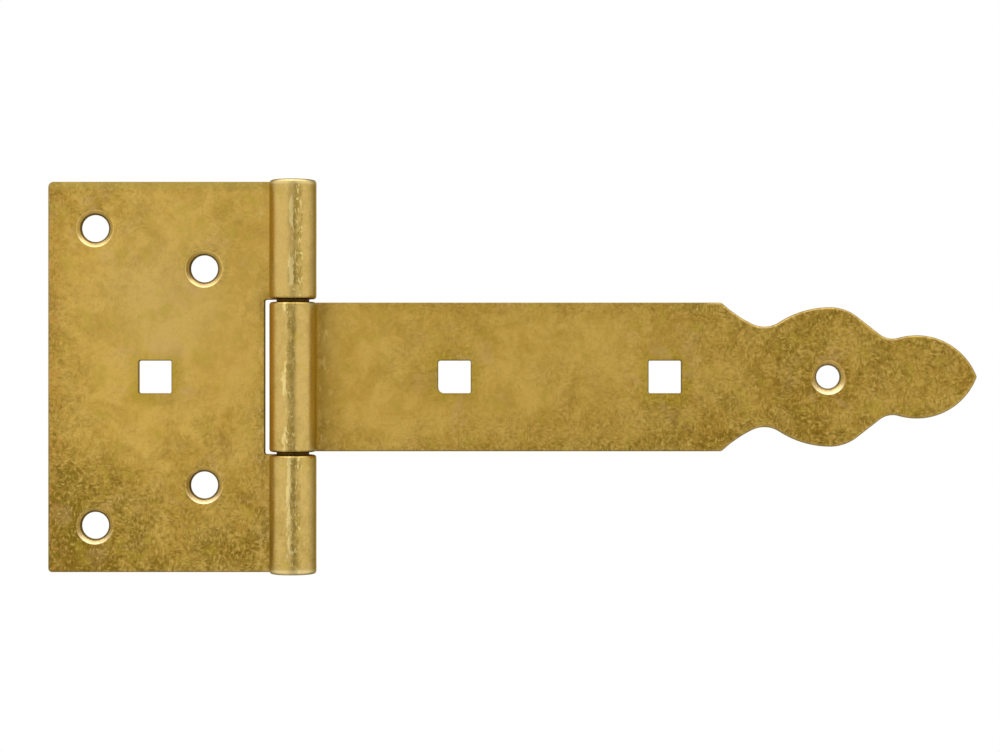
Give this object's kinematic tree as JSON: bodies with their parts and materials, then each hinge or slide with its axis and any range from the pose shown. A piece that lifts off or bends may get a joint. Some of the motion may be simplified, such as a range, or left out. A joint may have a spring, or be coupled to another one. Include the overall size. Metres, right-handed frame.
{
  "type": "t hinge",
  "caption": "Surface-mounted T hinge: a rectangular leaf and a long strap with a lobed, pointed end, both rolled round one pin.",
  "frame": {"origin": "on the mounting plane (the backs of both plates), behind the pin axis, at the middle of the pin's length", "axes": "+X along the strap towards its tip, +Z along the pin, +Y out of the mounting plane into the door or post, so the fronts face -Y"},
  "size_m": [0.1999, 0.0101, 0.084],
  "materials": {
    "plate_zinc": "yellow-passivated zinc plate, slightly mottled",
    "pin_steel": "yellow-passivated zinc plate, darker in the joint"
  },
  "bodies": {
    "leaf_side": {"leaf": "plate_zinc", "pin": "pin_steel"},
    "strap_side": {"strap": "plate_zinc"}
  },
  "joints": [
    {"name": "strap_swing", "type": "hinge", "parent": "leaf_side", "child": "strap_side", "pos_m": [0, -0.00505, 0], "axis": [0, 0, -1], "range_deg": [-95, 180]}
  ]
}
